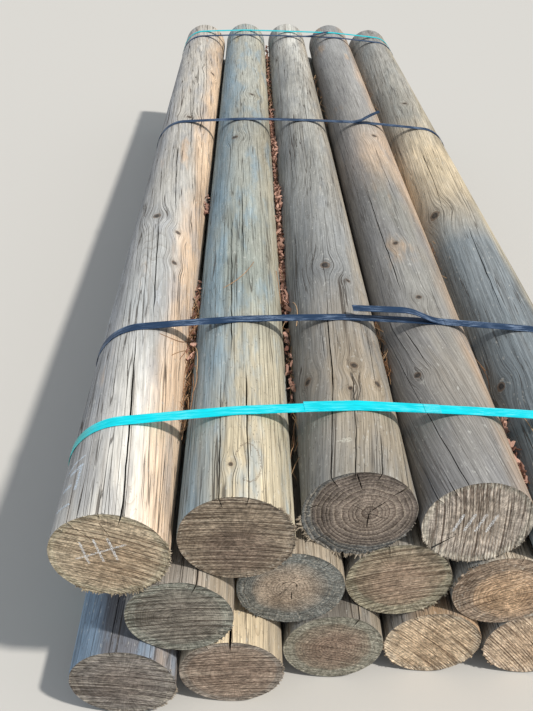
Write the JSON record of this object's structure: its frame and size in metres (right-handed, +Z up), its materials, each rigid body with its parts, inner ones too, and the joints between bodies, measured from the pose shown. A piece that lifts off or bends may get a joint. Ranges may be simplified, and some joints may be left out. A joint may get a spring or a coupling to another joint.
{
  "type": "strapped stack of peeled logs",
  "caption": "Nested stack of peeled pine logs with sawn ends, three rows high, bound by flat plastic straps with lapped joints and loose tails.",
  "frame": {"origin": "middle of the footprint on the floor, under the stack's straps", "axes": "+Y along the logs, from the front sawn ends to the back ones; +X across the stack; +Z up"},
  "size_m": [0.857, 2.7978, 0.4758],
  "materials": {
    "pink_grey_wood": "weathered, peeled, pinkish grey",
    "green_grey_wood": "weathered, treated, greenish grey",
    "brown_grey_wood": "weathered, peeled, brownish grey",
    "tan_grey_wood": "weathered, peeled, grey with tan patches",
    "teal_strap": "embossed polyester strapping, teal",
    "dark_strap": "polypropylene strapping, blue-black, scuffed"
  },
  "bodies": {
    "root": {"log_bottom_1": "brown_grey_wood", "log_bottom_2": "brown_grey_wood", "log_bottom_3": "green_grey_wood", "log_bottom_4": "tan_grey_wood", "log_bottom_5": "tan_grey_wood", "log_middle_1": "green_grey_wood", "log_middle_2": "brown_grey_wood", "log_middle_3": "green_grey_wood", "log_middle_4": "tan_grey_wood", "log_top_1": "pink_grey_wood", "log_top_2": "green_grey_wood", "log_top_3": "brown_grey_wood", "log_top_4": "tan_grey_wood", "log_top_5": "green_grey_wood", "strap_teal_front": "teal_strap", "strap_dark_front": "dark_strap", "strap_dark_middle": "dark_strap", "strap_dark_back": "dark_strap", "strap_teal_back": "teal_strap"}
  },
  "joints": []
}
